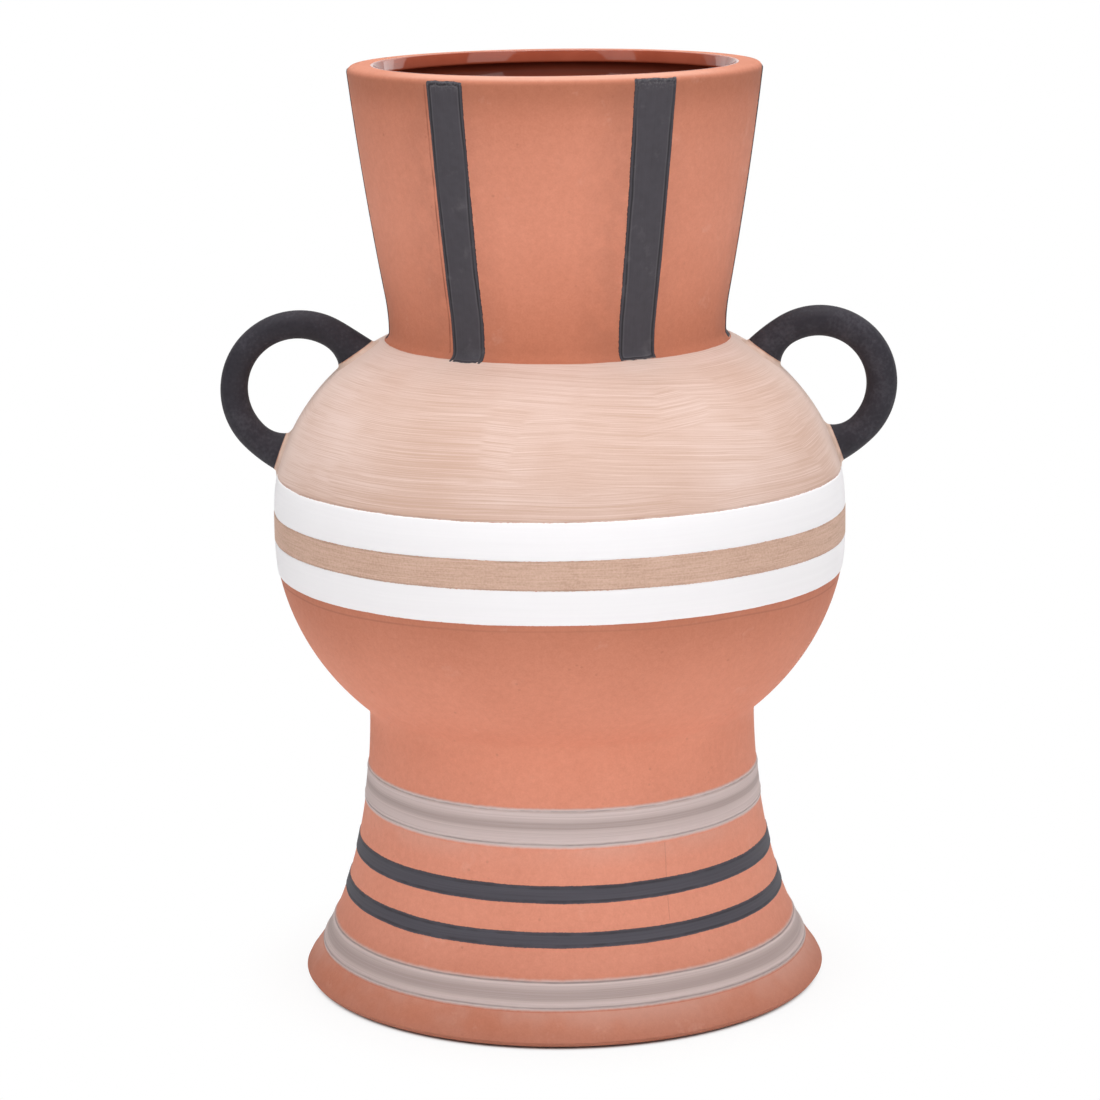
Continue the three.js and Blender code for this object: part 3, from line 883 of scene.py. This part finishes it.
bare = bare_clay()
glaze = brown_glaze()
beige = slip_coat(
    "shoulder_beige", ((0.602, 0.400, 0.316), (0.681, 0.487, 0.411), (0.748, 0.568, 0.503)),
    pitch=0.29, length=55, wander=2.2, edge=0.2, lines=0.42, relief=0.10, line=(0.25, 0.7, (0.46, 0.29, 0.22), 0.6),
    grit=0.06, reach=0.125, broad=0.12,
    roots=[(ring.side * root[0] * MM, 0.0, root[1] * MM) for _, ring in HANDLES for root in ring.roots])
white = slip_coat(
    "band_white", ((0.884, 0.866, 0.880), (0.90, 0.882, 0.897), (0.914, 0.896, 0.910)),
    pitch=1.0, length=90, wander=1.2, edge=0.25, relief=0.05)
tan = slip_coat(
    "band_tan", ((0.520, 0.328, 0.240), (0.612, 0.404, 0.310), (0.682, 0.466, 0.370)),
    pitch=0.34, length=13, wander=0.8, edge=0.2, lines=0.25, relief=0.14, line=(0.2, 0.5, (0.33, 0.21, 0.15), 0.55),
    grit=0.55)
taupe_high = taupe_slip(
    "upper_taupe", TAUPE_HIGH, (1.2, 1.0),
    ((0.0, 0.12), (0.08, 0.15), (0.20, 0.05), (0.27, 0.22), (0.41, 0.28), (0.46, 0.45), (0.50, 0.82), (0.62, 0.80),
     (0.66, 0.52), (0.72, 0.27), (0.80, 0.18), (0.88, 0.22), (0.93, 0.05)),
    ((SCRIBES_HIGH[0], 0.42, 0.35), (SCRIBES_HIGH[1], 0.32, 0.9)))
taupe_low = taupe_slip(
    "lower_taupe", TAUPE_LOW, (1.0, 1.6),
    ((0.0, 0.45), (0.08, 0.42), (0.21, 0.34), (0.29, 0.50), (0.36, 0.90), (0.46, 0.98), (0.56, 0.94), (0.63, 0.78),
     (0.70, 0.58), (0.75, 0.38), (0.79, 0.10), (0.84, 0.30), (0.93, 0.45)),
    ((SCRIBES_LOW[0], 0.42, 0.3), (SCRIBES_LOW[1], 0.6, 0.25)))
black_ring = slip_coat(
    "black_band", ((0.0655, 0.062, 0.0755), (0.0800, 0.0765, 0.0930), (0.0945, 0.091, 0.1100)),
    pitch=0.5, length=60, wander=0.6, edge=0.22, rough=(0.6, 0.75), specular=0.28,
    line=(0.9, 0.5, (0.035, 0.030, 0.035), 0.6))
black_line = black_stripe()
black_rod = black_handle()
collar_finish = collar_slip()


# The cast shell and the glaze inside it

def inside_line(shift):
    """The inside from the lip to the middle of the floor: a small bead at the lip with a hollow under it."""
    bead = bow((BEAD, 0.0), (1.15, 0.05), (1.0, 0.35), 5)[1:] + bow((0.95, 0.5), (0.35, 1.8), (0.0, 3.5), 9)
    hollow = bow((0.0, 3.75), (0.05, 4.1), (0.6, 4.2), 5) + bow((1.2, 4.3), (2.3, 4.9), (2.3, 6.6), 7)
    hollow += bow((2.2, 7.2), (2.0, 9.2), (0.7, 12.5), 7)
    rim = [(LIP_INNER + out, HEIGHT - down) for out, down in bead + hollow]
    wall = []
    for run in np.linspace(run_at(WALL_TOP), run_at(WALL_LOW), WALL_STEPS):
        r, z, out_r, out_z = wall_at(run)
        wall.append((float(r - WALL * out_r), float(z - WALL * out_z)))
    low = wall[-1][0]
    floor = bow(wall[-1], (low + 3.0, FLOOR), (low - 7.0, FLOOR), 8)
    line = [(LIP_INNER + BEAD, HEIGHT)] + rim + wall + floor[1:] + [(40.0, FLOOR), (20.0, FLOOR), (0.0, FLOOR)]
    depths = [shift * min(1.0, (i + 0.3) / 5) for i in range(len(line))]
    return [(max(r - d * across, 0.0), z + d * up) for (r, z), (across, up), d in zip(line, facing(line), depths)]


def facing(line):
    """For each point of a line down the inside, how much it faces the axis and how much it faces up."""
    step = np.gradient(np.array(line), axis=0)
    size = np.maximum(np.hypot(step[:, 0], step[:, 1]), 1e-9)
    return [(float(max(-dz / s, 0.0)), float(max(-dr / s, 0.0))) for (dr, dz), s in zip(step, size)]


def shell_line():
    ring = FOOT - EDGE_UNDERCUT - FOOT_RING
    under = [(0.0, RECESS), (30.0, RECESS), (ring - 3.0, RECESS)]
    under += bow((ring - 2.2, RECESS), (ring - 1.2, 2.4), (ring - 0.9, 1.4), 4)
    under += bow((ring - 0.5, 0.6), (ring - 0.3, 0.05), (ring + 0.6, 0.0), 4) + [(ring + 3.0, 0.0)]
    side = evened(OUTSIDE[OUTSIDE[:, 1] <= HEIGHT - LIP_ROUND].tolist(), 2.0)
    lip = arc((RIM - LIP_ROUND, HEIGHT - LIP_ROUND), LIP_ROUND, math.radians(8), math.pi / 2, 10)
    crown = [(64.0, HEIGHT + 0.04), (62.4, HEIGHT + 0.07), (60.8, HEIGHT + 0.05)]
    return under + side + lip + crown + inside_line(0.0)


lining = inside_line(GLAZE)[::-1] + inside_line(-GLAZE_BACK)
settle(turned("vase_body", shell_line(), BODY_STEPS, open_ended=True), "vase_body", "clay", bare)
settle(turned("glaze_lining", lining, LINING_STEPS, open_ended=True), "glaze_lining", "glaze", glaze)

# Coats around the shoulder and the belly, each sharing its edges with its neighbours, and bands around the foot
top, upper, lower, bottom = GIRTH_EDGES
neck = NECK_FOOT - COAT_TOP_GAP
top_sway, upper_sway, lower_sway, bottom_sway = (
    sway(seed, 0.08, droop, lean)
    for seed, droop, lean in ((3, 0.0, 0.25), (5, 0.1, 0.25), (8, 0.35, 0.0), (13, 0.05, 0.0)))
neck_sway = sway(21, 0.12, -0.4)
white_shape = film(WHITE_FILM), even_rows(1.5)
black_shape = film(BLACK_FILM), even_rows(1.0), FOOT_STEPS
COATS = [
    ("shoulder_coat", "beige_slip", beige, (top - COAT_LAP, neck), (top_sway, neck_sway),
     film(BEIGE_FILM), even_rows(1.4)),
    ("white_band_upper", "white_slip", white, (upper - COAT_LAP, top), (upper_sway, top_sway), *white_shape),
    ("white_band_lower", "white_slip", white, (bottom, lower + COAT_LAP), (bottom_sway, lower_sway), *white_shape),
    ("tan_band", "tan_slip", tan, (lower, upper), (lower_sway, upper_sway), film(TAN_FILM), even_rows(1.2)),
    ("taupe_band_lower", "taupe_slip", taupe_low, TAUPE_LOW, two_sways(31, 0.06),
     scribed(TAUPE_FILM, SCRIBES_LOW), close_rows, FOOT_STEPS),
    ("taupe_band_upper", "taupe_slip", taupe_high, TAUPE_HIGH, two_sways(41, 0.06),
     scribed(TAUPE_FILM, SCRIBES_HIGH), close_rows, FOOT_STEPS),
    ("black_band_lower", "black_slip", black_ring, BLACK_LOW, two_sways(51, 0.09), *black_shape),
    ("black_band_upper", "black_slip", black_ring, BLACK_HIGH, two_sways(61, 0.09), *black_shape)]
for node, slot, material, *shape in COATS:
    settle(brushed_ring(node, *shape), node, slot, material)


# Stripes down the neck

def neck_stripe(name, top_bearing, foot_bearing, top_width, foot_width, foot_drop, top_drop, seed):
    """A stripe laid on the neck from a flat grid, with a ridge along each side and a groove inside it."""
    piece = fresh(bpy.ops.mesh.primitive_grid_add, name, x_subdivisions=26, y_subdivisions=150, size=1.0)
    places = points_of(piece) * MM
    share, rise = places[:, 0] + 0.5, places[:, 1] + 0.5
    share = 0.5 + 0.5 * np.sign(share - 0.5) * np.abs(2 * share - 1) ** 0.75
    chance = random.Random(seed)

    def stray(t, size, count=6):
        waves = [(chance.uniform(0.5, 1.0), 2 ** i, chance.uniform(0, TURN)) for i in range(count)]
        return size * sum(a / (1 + 0.35 * k) * np.sin(TURN * k * t * 1.3 + p) for a, k, p in waves)
    left, right = stray(rise, 0.075), stray(rise, 0.075)
    top, foot = stray(share * 0.8, 0.2), stray(share * 0.8, 0.2)
    width = foot_width + (top_width - foot_width) * rise
    lateral = -width / 2 + left + (width + right - left) * share
    start = run_at(NECK_FOOT - foot_drop)
    length = run_at(HEIGHT - top_drop) - start
    run = start + foot + (length + top - foot) * rise
    r, z, out_r, out_z = wall_at(run)
    rim = np.minimum(share, 1 - share) * width
    near = np.minimum(rim, np.minimum(rise, 1 - rise) * length)
    ridge = 0.08 * np.exp(-((rim - 0.7) / 0.4) ** 2)
    groove = 0.09 * np.exp(-((rim - 1.35) / 0.35) ** 2)
    depth = STRIPE_FILM * np.minimum(1, near / 0.4) ** 0.5 + ridge - groove
    angle = np.radians(foot_bearing + (top_bearing - foot_bearing) * rise) + lateral / r
    reach = r + out_r * depth
    move_points(piece, np.c_[reach * np.sin(angle), -reach * np.cos(angle), z + out_z * depth])
    for key, values in (("run", lateral), ("rise", run), ("rim", near), ("foot", rise * length)):
        note(piece, key, values)
    modified(piece, "SOLIDIFY", thickness=STRIPE_BACK * MM, offset=-1)
    return closed_up(piece)


for i, sizes in enumerate(STRIPES):
    node = f"neck_stripe_{i + 1}"
    settle(neck_stripe(node, *sizes, 70 + i), node, "black_slip", black_line)


# Handles and the collars that join them to the shoulder

AROUND = TURN * np.arange(ROD_SIDES) / ROD_SIDES


def handle_rod(name, ring):
    piece = new_ring(name, ROD_SIDES)
    low, high = ring.end(AROUND, False, COLLAR), ring.end(AROUND, True, COLLAR)
    move_points(piece, ring.skin(low, AROUND))
    middle = (ring.side * ring.centre[0] * MM, 0, ring.centre[1] * MM)
    with editing("SELECT"):
        bpy.ops.mesh.spin(steps=ROD_STEPS, angle=(ring.high - ring.low) * ring.side, center=middle, axis=(0, 1, 0))
    share = 0.5 - 0.5 * np.cos(math.pi * np.linspace(0, 1, ROD_STEPS + 1))
    turn = low + (high - low) * share[:, None]
    move_points(piece, ring.skin(turn.ravel(), np.tile(AROUND, ROD_STEPS + 1)))
    return capped(piece)


def over_shoulder(places, lift):
    """The points dropped onto the shoulder and lifted off it again."""
    angle = np.arctan2(places[:, 1], places[:, 0])
    hub = np.c_[SHOULDER_MID * np.cos(angle), SHOULDER_MID * np.sin(angle), np.full(len(places), BELLY_HEIGHT)]
    away = places - hub
    away /= np.linalg.norm(away, axis=1)[:, None]
    return hub + away * (SHOULDER_ARC + lift)


def collar(name, ring, upper):
    """The root of a handle spreads onto the shoulder in a hollow curve."""
    top = ring.skin(ring.end(AROUND, upper, COLLAR), AROUND)
    root, slope = ring.roots[int(upper)], ring.slopes[int(upper)]
    middle = np.array([ring.side * root[0], 0.0, root[1]])
    out = np.array([ring.side * math.cos(slope), 0.0, math.sin(slope)])
    flat = top - middle - np.outer((top - middle) @ out, out)
    reach = np.linalg.norm(flat, axis=1)
    away = flat / reach[:, None]

    def level(spread, lift):
        return over_shoulder(middle + away * spread[:, None], lift)
    rings, rims = [level(reach * 0.7, COLLAR - 0.02), top], [0.0, 0.0]
    for drop in COLLAR_DROPS:
        share = drop / COLLAR_DROPS[-1]
        hollow = share ** COLLAR_HOLLOW
        rings.append(level(reach + 0.25 * share + (COLLAR_SPREAD - 0.25) * hollow, COLLAR - drop))
        rims.append(rims[-1] + math.hypot(0.14, COLLAR_SPREAD * hollow * 0.25))
    rings += [level(reach + COLLAR_SPREAD + COLLAR_SKIRT, -COLLAR_SINK), level(reach * 0.7, -COLLAR_SINK)]
    rims += [rims[-1] + COLLAR_SKIRT] * 2
    piece = new_ring(name, ROD_SIDES)
    move_points(piece, rings[0])
    for i, places in enumerate(rings[1:]):
        with editing(None if i else "SELECT"):
            bpy.ops.mesh.extrude_edges_move()
        now = points_of(piece)
        now[-ROD_SIDES:] = places
        move_points(piece, now)
    note(piece, "rim", np.repeat(rims, ROD_SIDES))
    return capped(piece, 50)


for name, ring in HANDLES:
    settle(handle_rod(f"handle_{name}", ring), f"handle_{name}", "black_slip", black_rod)
    for level, upper in (("upper", True), ("lower", False)):
        node = f"lute_{name}_{level}"
        settle(collar(node, ring, upper), node, "beige_slip", collar_finish)


# Floor, light and camera

SKY = 0.37
SKY_MIRRORED = 0.4
WHITE = (1, 1, 1, 1)


def studio_plane(name, **place):
    """A plane of the stage: its material's nodes, the kinds of ray that meet it, and where its shader goes."""
    plane = fresh(bpy.ops.mesh.primitive_plane_add, name, **place)
    material = bpy.data.materials.new(name)
    material.use_nodes = True
    plane.data.materials.append(material)
    n = Nodes(material.node_tree)
    n.tree.nodes.remove(n.tree.nodes["Principled BSDF"])
    return n, n.put("ShaderNodeLightPath").outputs, n.tree.nodes["Material Output"].inputs["Surface"]


def studio_floor():
    """A floor seen as plain white, apart from a thin shadow close to the foot."""
    n, seen, surface = studio_plane("studio_floor", size=24)
    paint = n.put("ShaderNodeBsdfDiffuse", {"Color": (0.9, 0.9, 0.9, 1)})
    glow = n.put("ShaderNodeEmission", {"Color": WHITE})
    mirrored = n.calc("MAXIMUM", seen["Is Glossy Ray"], seen["Is Transmission Ray"])
    direct = n.calc("MAXIMUM", seen["Is Camera Ray"], mirrored)
    away = n.vector("LENGTH", n.object_place())
    clear = n.total((n.ease(away, 0.0842, 0.0868), 0.87), (n.ease(away, 0.0868, 0.125), 0.13))
    mix = n.put("ShaderNodeMixShader", {0: n.times(direct, clear), 1: paint.outputs[0], 2: glow.outputs[0]})
    n.feed(surface, mix.outputs[0])


def studio_backdrop():
    """A white wall behind the vase, mirrored in the glaze and along the edges."""
    n, seen, surface = studio_plane("studio_backdrop", size=7, location=(0, 3.2, 3.5), rotation=(math.pi / 2, 0, 0))
    direct = n.calc("MAXIMUM", seen["Is Camera Ray"], seen["Is Glossy Ray"])
    glow = n.put("ShaderNodeEmission", {"Color": WHITE, "Strength": n.span(direct, 0, 1, SKY, 1.0)})
    n.feed(surface, glow.outputs[0])


def studio_world():
    world = bpy.data.worlds.new("studio")
    bpy.context.scene.world = world
    world.use_nodes = True
    n = Nodes(world.node_tree)
    seen = n.put("ShaderNodeLightPath").outputs
    back = n.tree.nodes["Background"].inputs
    dimmed = n.span(seen["Is Glossy Ray"], 0, 1, SKY, SKY_MIRRORED * SKY)
    n.feed(back["Color"], WHITE)
    n.feed(back["Strength"], n.calc("MAXIMUM", seen["Is Camera Ray"], dimmed))


def mounted(name, data, place, turn):
    """A lamp or a camera, put in its place."""
    holder = bpy.data.objects.new(name, data)
    bpy.context.collection.objects.link(holder)
    holder.location = place
    holder.rotation_mode = "QUATERNION"
    holder.rotation_quaternion = turn
    return holder


def soft_box(name, place, aim_height, width, height, watts, mirrored=True):
    lamp = bpy.data.lights.new(name, "AREA")
    lamp.shape = "RECTANGLE"
    lamp.size, lamp.size_y, lamp.energy = width, height, watts
    turn = (Vector((0, 0, aim_height)) - Vector(place)).to_track_quat("-Z", "Y")
    mounted(name, lamp, place, turn).visible_glossy = mirrored


studio_floor()
studio_backdrop()
studio_world()
soft_box("top_box", (0, 0, 1.5), 0.15, 1.0, 1.0, 18)
soft_box("front_box", (0, -1.4, 1.2), 0.15, 0.8, 0.8, 7.6, mirrored=False)
soft_box("front_box_left", (-1.02, -0.95, 1.1), 0.2, 0.6, 0.9, 1.7)
soft_box("front_box_right", (1.04, -0.93, 1.1), 0.2, 0.8, 1.0, 3.0)
soft_box("back_box_left", (-1.0, 1.0, 0.6), 0.15, 0.7, 1.0, 0.9)
soft_box("back_box_right", (1.0, 1.0, 0.6), 0.15, 0.7, 1.0, 2.5)

CAMERA_PLACE = (0, -1.1434, 0.3867)
CAMERA_TURN, CAMERA_DOWN, CAMERA_ROLL = 0.169, 11.986, -0.683

turn, down, roll = (Matrix.Rotation(math.radians(angle), 3, axis)
                    for angle, axis in ((CAMERA_TURN, "Z"), (90 - CAMERA_DOWN, "X"), (CAMERA_ROLL, "Z")))
camera = mounted("camera", bpy.data.cameras.new("camera"), CAMERA_PLACE, (turn @ down @ roll).to_quaternion())
camera.data.sensor_width, camera.data.lens = 36, 115.0
bpy.context.scene.camera = camera
bpy.context.scene.view_settings.view_transform = "Standard"
